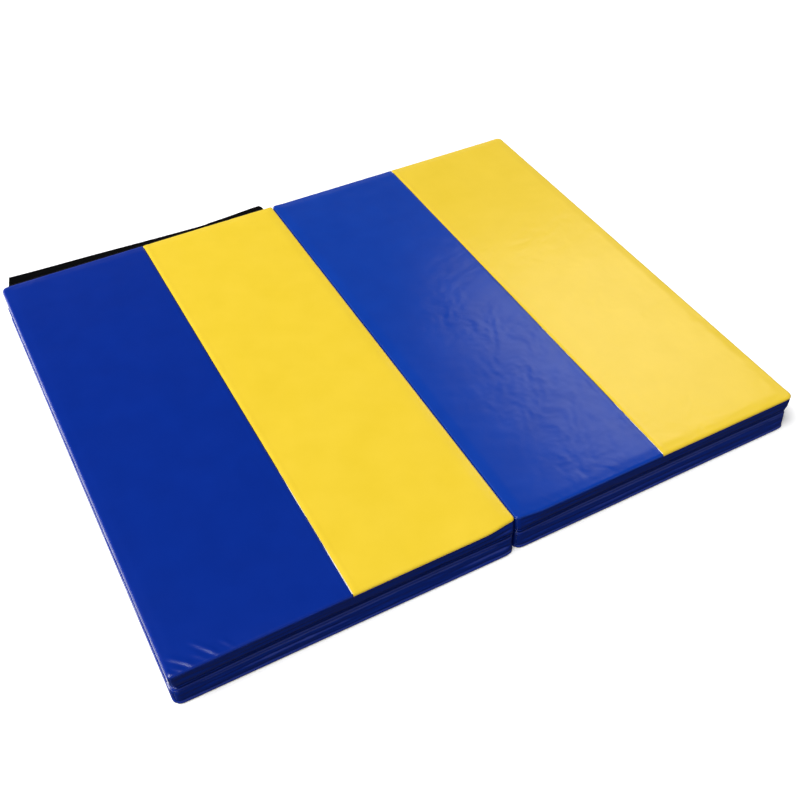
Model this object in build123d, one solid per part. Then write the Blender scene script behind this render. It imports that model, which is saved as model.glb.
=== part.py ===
"""Four-panel folding gym mat, stored half folded: two stacks of two panels, side by side.

Each panel is a foam slab in a sewn cover. One half of the cover's face is blue, the other
yellow. The panels hang together like an accordion: 1 and 2 are hinged back to back, 2 and 3
face to face, 3 and 4 back to back. Panels 1 and 4 lie face down, 2 and 3 lie on them face up.
Millimetres, +Z up, X across the stripes, Y along them. The origin is at the bottom centre.
"""
from build123d import *
import math
import os

# The panel: its X, Y and Z sizes, and how its edges are rounded
PANEL_WIDTH = 728.0
PANEL_LENGTH = 1220.0
PANEL_THICKNESS = 47.5
CORNER_RADIUS = 13.0
EDGE_RADIUS = 6.0

# The cover's sheet, and the slack between it and the foam
COVER_THICKNESS = 0.8
FOAM_CLEARANCE = 0.3

# How the panels lie next to each other
STACK_GAP = 1.5
SIDE_GAP = 2.0

# The outer hinge strips: a thin strip folded between two panels and sewn 12 mm onto both
STRIP_LENGTH = 1170.0
STRIP_THICKNESS = 0.4
STRIP_SEWN_WIDTH = 12.0
STRIP_CLEARANCE = 0.15

# The centre hinge strip: a shallow gutter in the valley between two faces, about the fold line
GUTTER_RADIUS = 3.5
GUTTER_HALF_ANGLE = 50.0

# The zipper in each panel's back wall
ZIP_LENGTH = 640.0
ZIP_TAPE_WIDTH = 8.0
ZIP_ABOVE_BACK = 10.5
COIL_WIDTH = 4.0
COIL_HEIGHT = 1.4
COIL_END_MARGIN = 2.0
COIL_ROUNDING = 0.6

# The slider that closes the zipper
SLIDER_LENGTH = 9.0
SLIDER_WIDTH = 7.0
SLIDER_PLATE = 1.2
SLIDER_FLANGE = 0.8
SLIDER_CLEARANCE = 0.5
SLIDER_CLOSED_X = 305.0
BRIDGE_LENGTH = 5.6
BRIDGE_WIDTH = 1.6
BRIDGE_OPENING = 1.8
BRIDGE_BAR = 0.8
BRIDGE_POST = 1.1

# The pull tab, a flat tab with two arms and a round crossbar under the slider's bridge
CROSSBAR_RADIUS = 0.6
ARM_LENGTH = 6.0
ARM_WIDTH = 1.0
ARM_GAP = 2.6
TAB_LENGTH = 15.0
TAB_WIDTH = 6.4
TAB_THICKNESS = 1.2
TAB_ROUNDING = 1.5

# The hook flap behind panel 2, sewn into its face seam, and the loop tape on panel 3
FLAP_WIDTH = 40.0
FLAP_THICKNESS = 2.2
FLAP_DROOP = 12.0
FLAP_AXIS_OFFSET = 2.4
FLAP_OUTER_MARGIN = 15.0
FLAP_INNER_MARGIN = 22.0
FLAP_CORNER_CUT = 12.0
SEWN_EDGE_HEIGHT = 8.0
SEWN_EDGE_THICKNESS = 0.8
LOOP_LENGTH = 690.0
LOOP_HEIGHT = 24.0
LOOP_THICKNESS = 1.0
LOOP_BELOW_FACE = 8.0

# Worked out from the sizes above
FACE_SEAM_Z = PANEL_THICKNESS - EDGE_RADIUS
BACK_SEAM_Z = EDGE_RADIUS
WALL_Y = PANEL_LENGTH / 2
TOP_Z = 2 * PANEL_THICKNESS + STACK_GAP
CENTRE_X = (PANEL_WIDTH + SIDE_GAP) / 2
HINGE_X = PANEL_WIDTH + SIDE_GAP
HINGE_Z = PANEL_THICKNESS + STACK_GAP / 2
CENTRE_HINGE_Z = TOP_Z + STACK_GAP / 2
DROOP = math.radians(FLAP_DROOP)
FLAP_REACH = (FLAP_AXIS_OFFSET + FLAP_WIDTH * math.cos(DROOP)
              + FLAP_THICKNESS / 2 * math.sin(DROOP))
MAT_Y = -FLAP_REACH / 2

# Larger than anything that a cutting block has to pass through
BEYOND = 100.0


def rounded_slab(inset):
    """The panel's outline, pulled in on every side. Its back is at z = inset."""
    slab = Box(PANEL_WIDTH - 2 * inset, PANEL_LENGTH - 2 * inset, PANEL_THICKNESS - 2 * inset)
    slab = fillet(slab.edges().filter_by(Axis.Z), CORNER_RADIUS - inset)
    rims = slab.edges().group_by(Axis.Z)[0] + slab.edges().group_by(Axis.Z)[-1]
    slab = fillet(rims, EDGE_RADIUS - inset)
    return Pos(0, 0, PANEL_THICKNESS / 2) * slab


def block(low, high):
    """A box between two opposite corners."""
    size = [b - a for a, b in zip(low, high)]
    middle = [(a + b) / 2 for a, b in zip(low, high)]
    return Pos(*middle) * Box(*size)


def layer(low_x, high_x, low_z, high_z):
    """A block that cuts a layer out of a panel, over its whole length."""
    reach = PANEL_LENGTH / 2 + BEYOND
    return block((low_x, -reach, low_z), (high_x, reach, high_z))


def wall_sector(along, depth):
    """A block that holds one side wall up to the middle of its two rounded corners."""
    near = (along / 2 - CORNER_RADIUS, depth / 2 - CORNER_RADIUS)
    far = (near[0] + BEYOND, near[1] + BEYOND)
    outline = Polyline((-near[0], near[1]), (-far[0], far[1]), far, near, close=True)
    height = FACE_SEAM_Z - BACK_SEAM_Z
    return Pos(0, 0, BACK_SEAM_Z) * extrude(make_face(outline), height)


def zipper_window():
    """The slot in the back wall that the zipper's tape fills."""
    low_z = ZIP_ABOVE_BACK - ZIP_TAPE_WIDTH / 2
    low = (-ZIP_LENGTH / 2, WALL_Y - COVER_THICKNESS, low_z)
    high = (ZIP_LENGTH / 2, WALL_Y, low_z + ZIP_TAPE_WIDTH)
    return block(low, high)


def cover_pieces():
    """The sewn cover's seven pieces of sheet."""
    shell = rounded_slab(0) - rounded_slab(COVER_THICKNESS)
    side = PANEL_WIDTH / 2 + BEYOND
    back = wall_sector(PANEL_WIDTH, PANEL_LENGTH)
    left = Rot(0, 0, 90) * wall_sector(PANEL_LENGTH, PANEL_WIDTH)
    return {
        "face_blue": shell & layer(-side, 0, FACE_SEAM_Z, PANEL_THICKNESS),
        "face_yellow": shell & layer(0, side, FACE_SEAM_Z, PANEL_THICKNESS),
        "back_sheet": shell & layer(-side, side, 0, BACK_SEAM_Z),
        "wall_back": (shell & back) - zipper_window(),
        "wall_front": shell & (Rot(0, 0, 180) * back),
        "wall_left": shell & left,
        "wall_right": shell & (Rot(0, 0, 180) * left),
    }


def zipper():
    """The zipper's tape with the closed coil standing out of it."""
    coil_length = ZIP_LENGTH - 2 * COIL_END_MARGIN
    coil = Pos(0, WALL_Y + COIL_HEIGHT / 2, ZIP_ABOVE_BACK) * Box(coil_length, COIL_HEIGHT, COIL_WIDTH)
    outer_edges = coil.faces().sort_by(Axis.Y)[-1].edges().filter_by(Axis.X)
    return zipper_window() + fillet(outer_edges, COIL_ROUNDING)


def slider_plate_y():
    """How far the outer side of the slider's plate is from the wall."""
    return COIL_HEIGHT + SLIDER_CLEARANCE + SLIDER_PLATE


def zipper_slider():
    """A channel over the coil, with the bridge that holds the pull tab."""
    plate_y = slider_plate_y()
    height = plate_y - SLIDER_CLEARANCE
    channel_width = SLIDER_WIDTH - 2 * SLIDER_FLANGE
    body = Pos(0, SLIDER_CLEARANCE + height / 2, 0) * Box(SLIDER_LENGTH, height, SLIDER_WIDTH)
    body = fillet(body.edges().filter_by(Axis.Y), TAB_ROUNDING)
    inner_y = plate_y - SLIDER_PLATE
    channel = Pos(0, inner_y / 2, 0) * Box(SLIDER_LENGTH, inner_y, channel_width)
    rise = BRIDGE_OPENING + BRIDGE_BAR
    bridge = Pos(0, plate_y + rise / 2, 0) * Box(BRIDGE_LENGTH, rise, BRIDGE_WIDTH)
    opening_length = BRIDGE_LENGTH - 2 * BRIDGE_POST
    opening = Pos(0, plate_y + BRIDGE_OPENING / 2, 0) * Box(opening_length, BRIDGE_OPENING, BRIDGE_WIDTH)
    return body - channel + (bridge - opening)


def zipper_pull():
    """The tab lies along the closed zipper, pointing away from its closed end."""
    crossbar = Cylinder(CROSSBAR_RADIUS, ARM_GAP + 2 * ARM_WIDTH)
    arm = Pos(-ARM_LENGTH / 2, 0, 0) * Box(ARM_LENGTH, TAB_THICKNESS, ARM_WIDTH)
    arm_z = (ARM_GAP + ARM_WIDTH) / 2
    tab = Pos(-ARM_LENGTH - TAB_LENGTH / 2, 0, 0) * Box(TAB_LENGTH, TAB_THICKNESS, TAB_WIDTH)
    tab = fillet(tab.edges().filter_by(Axis.Y), TAB_ROUNDING)
    pull = crossbar + Pos(0, 0, arm_z) * arm + Pos(0, 0, -arm_z) * arm + tab
    return Pos(0, slider_plate_y() + BRIDGE_OPENING / 2, 0) * pull


def panel_pieces():
    """Every piece of one panel, with its back on z = 0, its face up and its blue half on the left."""
    closed_end = Pos(SLIDER_CLOSED_X, WALL_Y, ZIP_ABOVE_BACK)
    pieces = cover_pieces()
    pieces["foam_core"] = rounded_slab(COVER_THICKNESS + FOAM_CLEARANCE)
    pieces["zipper"] = zipper()
    pieces["zipper_slider"] = closed_end * zipper_slider()
    pieces["zipper_pull"] = closed_end * zipper_pull()
    return pieces


def along_y(section):
    """A hinge strip with this section across its fold line."""
    return extrude(Plane.XZ * section, STRIP_LENGTH / 2, both=True)


def folded_strip():
    """A hinge strip folded flat between two stacked panels, about x = z = 0, panels at +X."""
    reach = STRIP_SEWN_WIDTH + SIDE_GAP / 2
    outer = STACK_GAP / 2 - STRIP_CLEARANCE
    inner = outer - STRIP_THICKNESS
    outside = Circle(outer) + Pos(reach / 2, 0) * Rectangle(reach, 2 * outer)
    inside = Circle(inner) + Pos(reach / 2, 0) * Rectangle(reach, 2 * inner)
    return along_y(outside - inside)


def gutter_strip():
    """A hinge strip that sags in the valley between two panels' faces, about x = z = 0."""
    ring = Circle(GUTTER_RADIUS) - Circle(GUTTER_RADIUS - STRIP_THICKNESS)
    depth = 2 * GUTTER_RADIUS
    half_width = depth * math.tan(math.radians(GUTTER_HALF_ANGLE))
    wedge = make_face(Polyline((0, 0), (-half_width, -depth), (half_width, -depth), close=True))
    return along_y(ring & wedge)


def hinge_strips():
    """The three strips that the panels hang together by."""
    return {
        "hinge_strip_left": Pos(-HINGE_X, MAT_Y, HINGE_Z) * folded_strip(),
        "hinge_strip_centre": Pos(0, MAT_Y, CENTRE_HINGE_Z) * gutter_strip(),
        "hinge_strip_right": Pos(HINGE_X, MAT_Y, HINGE_Z) * Rot(0, 180, 0) * folded_strip(),
    }


def hook_flap():
    """The flap of hook tape, drooping behind panel 2, with its outer corner cut off."""
    left_x = -HINGE_X + SIDE_GAP / 2 + FLAP_OUTER_MARGIN
    right_x = -SIDE_GAP / 2 - FLAP_INNER_MARGIN
    outline = Polyline(
        (left_x, 0),
        (right_x, 0),
        (right_x, FLAP_WIDTH),
        (left_x + FLAP_CORNER_CUT, FLAP_WIDTH),
        (left_x, FLAP_WIDTH - FLAP_CORNER_CUT),
        close=True,
    )
    tape = Pos(0, 0, -FLAP_THICKNESS / 2) * extrude(make_face(outline), FLAP_THICKNESS)
    rolled_edge = Rot(0, 90, 0) * Cylinder(FLAP_THICKNESS / 2, right_x - left_x)
    flap = tape + Pos((left_x + right_x) / 2, 0, 0) * rolled_edge
    seam_z = TOP_Z - EDGE_RADIUS
    return Pos(0, MAT_Y + WALL_Y + FLAP_AXIS_OFFSET, seam_z) * Rot(-FLAP_DROOP, 0, 0) * flap


def sewn_edge():
    """The edge of the flap's tape that is sewn flat onto panel 2's back wall."""
    left_x = -HINGE_X + SIDE_GAP / 2 + FLAP_OUTER_MARGIN
    right_x = -SIDE_GAP / 2 - FLAP_INNER_MARGIN
    wall_y = MAT_Y + WALL_Y
    seam_z = TOP_Z - EDGE_RADIUS
    return block((left_x, wall_y, seam_z - SEWN_EDGE_HEIGHT),
                 (right_x, wall_y + SEWN_EDGE_THICKNESS, seam_z))


def loop_tape():
    """The tape on panel 3's back wall that the hook flap closes onto when 3 is folded over 2."""
    wall_y = MAT_Y + WALL_Y
    high_z = TOP_Z - LOOP_BELOW_FACE
    low = (CENTRE_X - LOOP_LENGTH / 2, wall_y, high_z - LOOP_HEIGHT)
    high = (CENTRE_X + LOOP_LENGTH / 2, wall_y + LOOP_THICKNESS, high_z)
    return block(low, high)


def panel_places():
    """Where each panel lies. Panels 1 and 4 are turned over onto their faces."""
    face_down = Rot(0, 180, 0)
    upper_z = PANEL_THICKNESS + STACK_GAP
    return {
        "panel_1": Pos(-CENTRE_X, MAT_Y, PANEL_THICKNESS) * face_down,
        "panel_2": Pos(-CENTRE_X, MAT_Y, upper_z),
        "panel_3": Pos(CENTRE_X, MAT_Y, upper_z),
        "panel_4": Pos(CENTRE_X, MAT_Y, PANEL_THICKNESS) * face_down,
    }


def whole_mat():
    """Every node's name and solid."""
    pieces = panel_pieces()
    nodes = {}
    for panel, place in panel_places().items():
        for piece, solid in pieces.items():
            nodes[f"{panel}_{piece}"] = place * solid
    nodes.update(hinge_strips())
    nodes["hook_flap"] = hook_flap()
    nodes["hook_flap_sewn_edge"] = sewn_edge()
    nodes["loop_tape"] = loop_tape()
    return nodes


os.makedirs("parts", exist_ok=True)
for name, solid in whole_mat().items():
    export_step(solid, f"parts/{name}.step")
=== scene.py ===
"""Looks of the four-panel folding gym mat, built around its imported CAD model.

Each panel's cover is seven sheets of coated fabric, sewn inside out, so every seam is a rolled
hem with a groove beside it. A panel is shaped in its own coordinates: x across its stripes with
the blue half at -x, y towards the wall with the zipper, and z from its back to its striped face.
"""
import math

import bmesh
import bpy
import numpy as np
from mathutils import Matrix, Vector


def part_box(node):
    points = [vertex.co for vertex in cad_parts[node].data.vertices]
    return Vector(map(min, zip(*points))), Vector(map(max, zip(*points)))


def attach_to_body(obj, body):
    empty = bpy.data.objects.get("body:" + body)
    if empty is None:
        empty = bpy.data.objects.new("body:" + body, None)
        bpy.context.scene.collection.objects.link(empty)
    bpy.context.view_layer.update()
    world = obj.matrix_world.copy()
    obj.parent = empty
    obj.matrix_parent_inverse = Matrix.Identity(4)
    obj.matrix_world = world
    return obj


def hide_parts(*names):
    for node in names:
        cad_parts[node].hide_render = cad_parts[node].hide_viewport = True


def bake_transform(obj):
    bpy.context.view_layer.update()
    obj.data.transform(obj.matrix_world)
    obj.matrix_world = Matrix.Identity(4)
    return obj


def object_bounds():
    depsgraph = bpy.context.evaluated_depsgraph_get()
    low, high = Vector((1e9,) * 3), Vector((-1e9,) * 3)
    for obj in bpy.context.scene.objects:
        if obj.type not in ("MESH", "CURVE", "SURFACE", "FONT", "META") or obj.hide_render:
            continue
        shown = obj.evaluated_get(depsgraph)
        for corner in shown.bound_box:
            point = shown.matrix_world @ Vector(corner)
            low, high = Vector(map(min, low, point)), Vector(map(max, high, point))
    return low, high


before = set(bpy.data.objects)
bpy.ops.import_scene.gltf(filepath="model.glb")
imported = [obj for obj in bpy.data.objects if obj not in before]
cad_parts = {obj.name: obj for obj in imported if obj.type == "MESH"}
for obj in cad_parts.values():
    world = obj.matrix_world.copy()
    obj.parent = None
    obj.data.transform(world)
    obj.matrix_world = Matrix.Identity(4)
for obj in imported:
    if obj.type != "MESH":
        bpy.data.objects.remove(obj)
CAD_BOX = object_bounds()

MM = 0.001

# The panels as they lie: whether the face is up, which of its own sides is the stack's outer one,
# the seed of its random shapes, how far its outer side is drawn in at the back, and how far its
# front bulges out beside the floor at each end
PANELS = {
    "panel_1": {"face_up": False, "outer": 1, "seed": 11, "waist": 2.5 * MM, "bulge": (6.5 * MM, 1.5 * MM)},
    "panel_2": {"face_up": True, "outer": -1, "seed": 23, "waist": 2.5 * MM, "bulge": (0, 0)},
    "panel_3": {"face_up": True, "outer": 1, "seed": 37, "waist": 6.0 * MM, "bulge": (0, 0)},
    "panel_4": {"face_up": False, "outer": -1, "seed": 41, "waist": 3.0 * MM, "bulge": (4.0 * MM, 3.0 * MM)},
}
# Of the two faces that show: how far the edges fall away, how square the roll beside the centre
# fold is (2 is round), how far the front corner beside it is drawn back, and how crumpled they are
FACES = {
    "panel_2": {"crown": 1.2 * MM, "squareness": 2.4, "drawn_back": 8.0 * MM, "crumpled": 0.3},
    "panel_3": {"crown": 1.7 * MM, "squareness": 4.0, "drawn_back": 5.5 * MM, "crumpled": 1.2},
}
HIDDEN_FACE = {"crown": 0.55 * MM, "squareness": 2.0, "drawn_back": 0.0, "crumpled": 0.0}
# The sides, in x and y, of a panel's four corners
CORNERS = [(-1, -1), (-1, 1), (1, -1), (1, 1)]

# The cover: its cloth, the roll at its edges, and its plan corners' radii at the walls, and at a
# face's outer and tighter corners
SHEET = 0.7 * MM
EDGE = 6.0 * MM
WALL_CORNER = 13.0 * MM
FACE_CORNER = 15.0 * MM
TIGHT_CORNER = 8.0 * MM
# How deep the covers are drawn in at their upright corner seams
CORNER_PINCH = 1.1 * MM
# How much nearer to the face its seam is than the CAD model's: all round where a panel lies on its
# face, and along the front where the face is up
PRESSED_SEAM = 3.2 * MM
RAISED_SEAM = 2.4 * MM
# How far the walls are drawn in beside the back seam and beside the seam of a face that is up, and
# how far from the seam that starts
BACK_TUCK = 2.2 * MM
FACE_TUCK = 1.25 * MM
TUCK_REACH = 5.7 * MM
# Cloth turned in at every seam
# The walls' grids: the step along the wall, the rows up it, and the steps round half a corner
WALL_STEP = 5.5 * MM
WALL_ROWS = 30
ARC_STEPS = 6

# The foam: how far inside the cover it is, and its rounded edge, as heights above its flat side and
# how far it is drawn in there, in millimetres
FOAM_INSET = 3.0 * MM
FOAM_EDGE = [(0.0, 4.0), (0.6, 1.6), (2.2, 0.4), (4.5, 0.0)]

# The zipper's half length, its tape's half width, and its coil: the bare tape at each end, the
# pitch and half width of its elements, and how far they are offset in turn
ZIP_HALF = (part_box("panel_1_zipper")[1].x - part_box("panel_1_zipper")[0].x) / 2
ZIP_TAPE = 4.0 * MM
COIL_MARGIN = 4 * MM
COIL_PITCH = 1.25 * MM
COIL_HALF = 1.35 * MM
COIL_SHIFT = 0.55 * MM
# Every stitch's length, and the gap to the next
STITCH = 2.3 * MM
STITCH_GAP = 0.9 * MM
# The rings of points of a bar with rounded ends: the end they are at, how far beyond it, and how
# wide, as shares of the bar's radius
BAR_RINGS = [(0, -1.0, 0.35), (0, -0.3, 0.95), (1, 0.3, 0.95), (1, 1.0, 0.35)]

# The hook flap: how far inside the CAD flap's box it starts, how far its outer end slants, and how
# much of it is tucked in behind the seam
FLAP_END_INSET = 3 * MM
FLAP_SLANT = 10.5 * MM
FLAP_TUCKED_IN = 3.6 * MM

# The studio's brightness by height, from straight below (0) to straight above (1), and that of the
# plain backdrop which the camera sees instead
SKY = {0.46: 0.05, 0.50: 0.55, 0.66: 0.55, 0.76: 0.03}
BACKDROP = 0.95
# The glow of the floor, and of the part of it that the left wall reflects
FLOOR_GLOW = 0.25
REFLECTED_GLOW = 0.9
# The wide soft light overhead, and the lamps: each gives sheen alone or the walls' colour alone
KEY_STRENGTH = 3.35
KEY_SPREAD = math.radians(34)
KEY_DIRECTION = Vector((0.45, 0.02, -0.89))
LAMPS = {
    "back_right": {"at": (1.82, 1.05, 1.73), "towards": (1.82, 1.05, 0.0), "size": (1.2, 1.5),
                   "power": 12.5, "sheen": True},
    "left": {"at": (-2.4, 1.6, 0.5), "towards": (-0.7, 0.0, 0.05), "size": (1.6, 0.8),
             "power": 42, "sheen": False},
}

# The camera: its lens in millimetres, its angles in degrees, the point on top of the mat that it
# looks at, and how far away it is
CAMERA_LENS = 46.39
CAMERA_AZIMUTH, CAMERA_ELEVATION, CAMERA_ROLL = 28.39, 45.65, 0.11
CAMERA_AIM = (-0.0459, -0.2253)
CAMERA_DISTANCE = 2.2786


def smooth(low, high, x):
    """0 up to low, 1 from high, and a smooth step between them."""
    t = np.clip((x - low) / (high - low), 0, 1)
    return t * t * (3 - 2 * t)


def near_edge(x, half, reach):
    """0 at this reach from the edge and 1 at the edge, which is half a side from the middle."""
    return smooth(half - reach, half, x)


def bump(x, middle, width):
    """1 at middle, falling to 0 over about twice the width on each side."""
    return np.exp(-((x - middle) / width) ** 2)


def waves(x, y, seed, wavelength, count=9):
    """Smooth random ripples between about -1 and 1, as a sum of plane waves."""
    draw = np.random.default_rng(seed)
    total = np.zeros(np.broadcast(x, y).shape)
    for _ in range(count):
        angle = draw.uniform(0, 2 * math.pi)
        length = wavelength * draw.uniform(0.6, 1.6)
        phase = draw.uniform(0, 2 * math.pi)
        along = x * math.cos(angle) + y * math.sin(angle)
        total += np.sin(2 * math.pi * along / length + phase)
    return total / math.sqrt(count)


# ------------ meshes


def link(obj):
    """Puts an object into the scene."""
    bpy.context.scene.collection.objects.link(obj)
    return obj


def mesh_object(name, points, faces, material):
    """A smooth-shaded mesh of these points and faces."""
    mesh = bpy.data.meshes.new(name)
    mesh.from_pydata(np.asarray(points, float).reshape(-1, 3).tolist(), [], faces)
    mesh.validate()
    mesh.shade_smooth()
    mesh.materials.append(material)
    return link(bpy.data.objects.new(name, mesh))


def grid_object(name, points, material):
    """A sheet through a rows x columns array of points."""
    rows, columns = points.shape[:2]
    faces = []
    for i in range(rows - 1):
        for j in range(columns - 1):
            here = i * columns + j
            faces.append((here, here + columns, here + columns + 1, here + 1))
    return mesh_object(name, points, faces, material)


def tube_faces(rings, sides, first=0):
    """The faces round a tube, whose points are stored ring by ring, and over its two ends."""
    faces = []
    for i in range(rings - 1):
        below = first + i * sides
        above = below + sides
        for j in range(sides):
            n = (j + 1) % sides
            faces.append((below + j, below + n, above + n, above + j))
    last = first + (rings - 1) * sides
    faces.append(tuple(reversed(range(first, first + sides))))
    faces.append(tuple(range(last, last + sides)))
    return faces


def merge_close(obj, distance=0.02 * MM):
    """Merges points that lie on each other, and drops the faces that vanish."""
    mesh = bmesh.new()
    mesh.from_mesh(obj.data)
    bmesh.ops.remove_doubles(mesh, verts=mesh.verts, dist=distance)
    bmesh.ops.dissolve_degenerate(mesh, edges=mesh.edges, dist=distance / 10)
    mesh.to_mesh(obj.data)
    mesh.free()
    obj.data.shade_smooth()


def face_out(obj, middle):
    """Turns the sheet's faces away from the panel's middle."""
    mesh = obj.data
    centres = np.array([p.center for p in mesh.polygons])
    normals = np.array([p.normal for p in mesh.polygons])
    areas = np.array([p.area for p in mesh.polygons])
    if ((centres - middle) * normals).sum(1) @ areas < 0:
        mesh.flip_normals()


def thicken(obj, thickness):
    """Gives a sheet its thickness, on its inner side."""
    solid = obj.modifiers.new("thickness", "SOLIDIFY")
    solid.thickness = thickness
    solid.offset = -1


def attach(pieces, node, body):
    """Joins pieces to the model: they stand in for a CAD node and move with its body."""
    for piece in pieces:
        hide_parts(node)
        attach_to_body(piece, body)


# ------------ materials

# The Mix node's colour sockets, which share their names with those of its other modes
MIX_A, MIX_B, MIX_RESULT = 6, 7, 2
# The coating's roughness, from its shiniest to its dullest patches. It stays under 0.27386, the
# square root of 0.075: the renderer's denoiser treats rougher surfaces in another way, and where
# the value crosses that limit the picture gets thin rings.
COATING_ROUGHNESS = (0.23, 0.27)


def set_values(node, values):
    """Sets a node's inputs, or its properties where it has no such input."""
    for name, value in values.items():
        if name in node.inputs:
            node.inputs[name].default_value = value
        else:
            setattr(node, name, value)


def add(tree, kind, **values):
    """A new node of this kind, with these values."""
    node = tree.nodes.new(f"ShaderNode{kind}")
    set_values(node, values)
    return node


def new_material(name, **values):
    """A material, its node tree, and its shader with these input values."""
    material = bpy.data.materials.new(name)
    material.use_nodes = True
    tree = material.node_tree
    shader = next(n for n in tree.nodes if n.type == "BSDF_PRINCIPLED")
    set_values(shader, values)
    return material, tree, shader


def texture(tree, kind, out="Fac", stretch=(1, 1, 1), **values):
    """A texture's value, from 0 to 1, in the object's own coordinates."""
    place = add(tree, "TexCoord")
    mapping = add(tree, "Mapping", Scale=stretch)
    node = add(tree, f"Tex{kind}", **values)
    tree.links.new(place.outputs["Object"], mapping.inputs["Vector"])
    tree.links.new(mapping.outputs["Vector"], node.inputs["Vector"])
    return node.outputs[out]


def spread(tree, source, low, high):
    """Maps a 0 to 1 value to low to high."""
    node = add(tree, "MapRange", **{"To Min": low, "To Max": high})
    tree.links.new(source, node.inputs["Value"])
    return node.outputs["Result"]


def tint(tree, factor, dark, light):
    """A colour between two, by a 0 to 1 value."""
    node = add(tree, "Mix", data_type="RGBA")
    node.inputs[MIX_A].default_value = (*dark, 1)
    node.inputs[MIX_B].default_value = (*light, 1)
    tree.links.new(factor, node.inputs["Factor"])
    return node.outputs[MIX_RESULT]


def paint(tree, shader, factor, dark, light, roughness):
    """The shader's colour and roughness, both varied by one 0 to 1 value."""
    tree.links.new(tint(tree, factor, dark, light), shader.inputs["Base Color"])
    tree.links.new(spread(tree, factor, *roughness), shader.inputs["Roughness"])


def stack_bumps(tree, shader, layers):
    """Chains bump nodes: (height, strength, distance in metres) each."""
    normal = None
    for height, strength, distance in layers:
        node = add(tree, "Bump", Strength=strength, Distance=distance)
        tree.links.new(height, node.inputs["Height"])
        if normal is not None:
            tree.links.new(normal, node.inputs["Normal"])
        normal = node.outputs["Normal"]
    tree.links.new(normal, shader.inputs["Normal"])


def coated_fabric(name, dark, light):
    """Coated fabric: a fine pebble grain, soft mottling, and slightly duller patches."""
    material, tree, shader = new_material(name, IOR=1.47)
    mottle = texture(tree, "Noise", Scale=14.0, Detail=2.0)
    dull = texture(tree, "Noise", Scale=9.0, Detail=1.0)
    weave = texture(tree, "Noise", Scale=420.0, Detail=2.0)
    grain = texture(tree, "Noise", Scale=1300.0, Detail=1.0)
    tree.links.new(tint(tree, mottle, dark, light), shader.inputs["Base Color"])
    tree.links.new(spread(tree, dull, *COATING_ROUGHNESS), shader.inputs["Roughness"])
    layers = [(mottle, 0.22, 1.2 * MM), (weave, 0.05, 0.05 * MM), (grain, 0.06, 0.03 * MM)]
    stack_bumps(tree, shader, layers)
    return material


def woven_tape(name, dark, light, pitch, rough=0.85):
    """A narrow woven tape: crossing threads with a little fuzz."""
    material, tree, shader = new_material(name, **{"Specular IOR Level": 0.02})
    threads = {"Scale": 1 / pitch / 6, "Distortion": 0.6}
    warp = texture(tree, "Wave", bands_direction="X", **threads)
    weft = texture(tree, "Wave", bands_direction="DIAGONAL", **threads)
    fuzz = texture(tree, "Noise", Scale=900.0, Detail=4.0)
    paint(tree, shader, fuzz, dark, light, (rough - 0.1, rough + 0.1))
    stack_bumps(tree, shader, [(warp, 0.5, 0.25 * MM), (weft, 0.4, 0.25 * MM), (fuzz, 0.6, 0.2 * MM)])
    return material


def plated_metal(name):
    """Nickel-plated zinc: polished, with fine handling scratches."""
    material, tree, shader = new_material(name, Metallic=1.0)
    scratches = texture(tree, "Noise", stretch=(1, 1, 6), Scale=500.0, Detail=5.0)
    paint(tree, shader, scratches, (0.42, 0.42, 0.43), (0.66, 0.66, 0.67), (0.18, 0.42))
    stack_bumps(tree, shader, [(scratches, 0.1, 0.05 * MM)])
    return material


def closed_cell_foam(name):
    """White foam with visible cells."""
    material, tree, shader = new_material(name)
    cells = texture(tree, "Voronoi", out="Distance", Scale=700.0)
    paint(tree, shader, cells, (0.70, 0.70, 0.67), (0.88, 0.88, 0.86), (0.6, 0.9))
    stack_bumps(tree, shader, [(cells, 0.5, 0.4 * MM)])
    return material


def thread(name, colour):
    """Sewing thread, with its twist."""
    material, tree, shader = new_material(name, Roughness=0.6)
    twist = texture(tree, "Wave", Scale=500.0, Distortion=1.0, bands_direction="DIAGONAL")
    dark = tuple(0.6 * c for c in colour)
    tree.links.new(tint(tree, twist, dark, colour), shader.inputs["Base Color"])
    stack_bumps(tree, shader, [(twist, 0.5, 0.1 * MM)])
    return material


BLUE = coated_fabric("blue_coated_fabric", (0.0006, 0.020, 0.240), (0.0011, 0.025, 0.286))
LIGHT_BLUE = coated_fabric("blue_coated_fabric_lighter", (0.0022, 0.036, 0.315), (0.0038, 0.047, 0.375))
YELLOW = coated_fabric("yellow_coated_fabric", (0.83, 0.585, 0.028), (0.89, 0.635, 0.045))
# Panel 3's yellow: the same yellow made darker, as painted shade where the light falls off towards the right
PAINTED_SHADE_YELLOW = coated_fabric("yellow_coated_fabric_painted_shade", (0.805, 0.565, 0.031), (0.865, 0.614, 0.048))
HOOK_TAPE = woven_tape("black_hook_tape", (0.0006, 0.0006, 0.0008), (0.0030, 0.0030, 0.0036), 1.2 * MM)
LOOP_TAPE = woven_tape("black_loop_tape", (0.001, 0.001, 0.0012), (0.008, 0.008, 0.009), 0.8 * MM, 0.9)
ZIP_TAPE_FABRIC = woven_tape("navy_zipper_tape", (0.003, 0.006, 0.045), (0.008, 0.016, 0.10), 0.6 * MM, 0.75)
METAL = plated_metal("nickel_plate")
FOAM = closed_cell_foam("white_foam")
COIL = thread("nylon_coil", (0.010, 0.022, 0.13))
BLUE_THREAD = thread("blue_thread", (0.02, 0.07, 0.42))
BLACK_THREAD = thread("black_thread", (0.03, 0.03, 0.035))


# ------------ a panel's place


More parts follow.
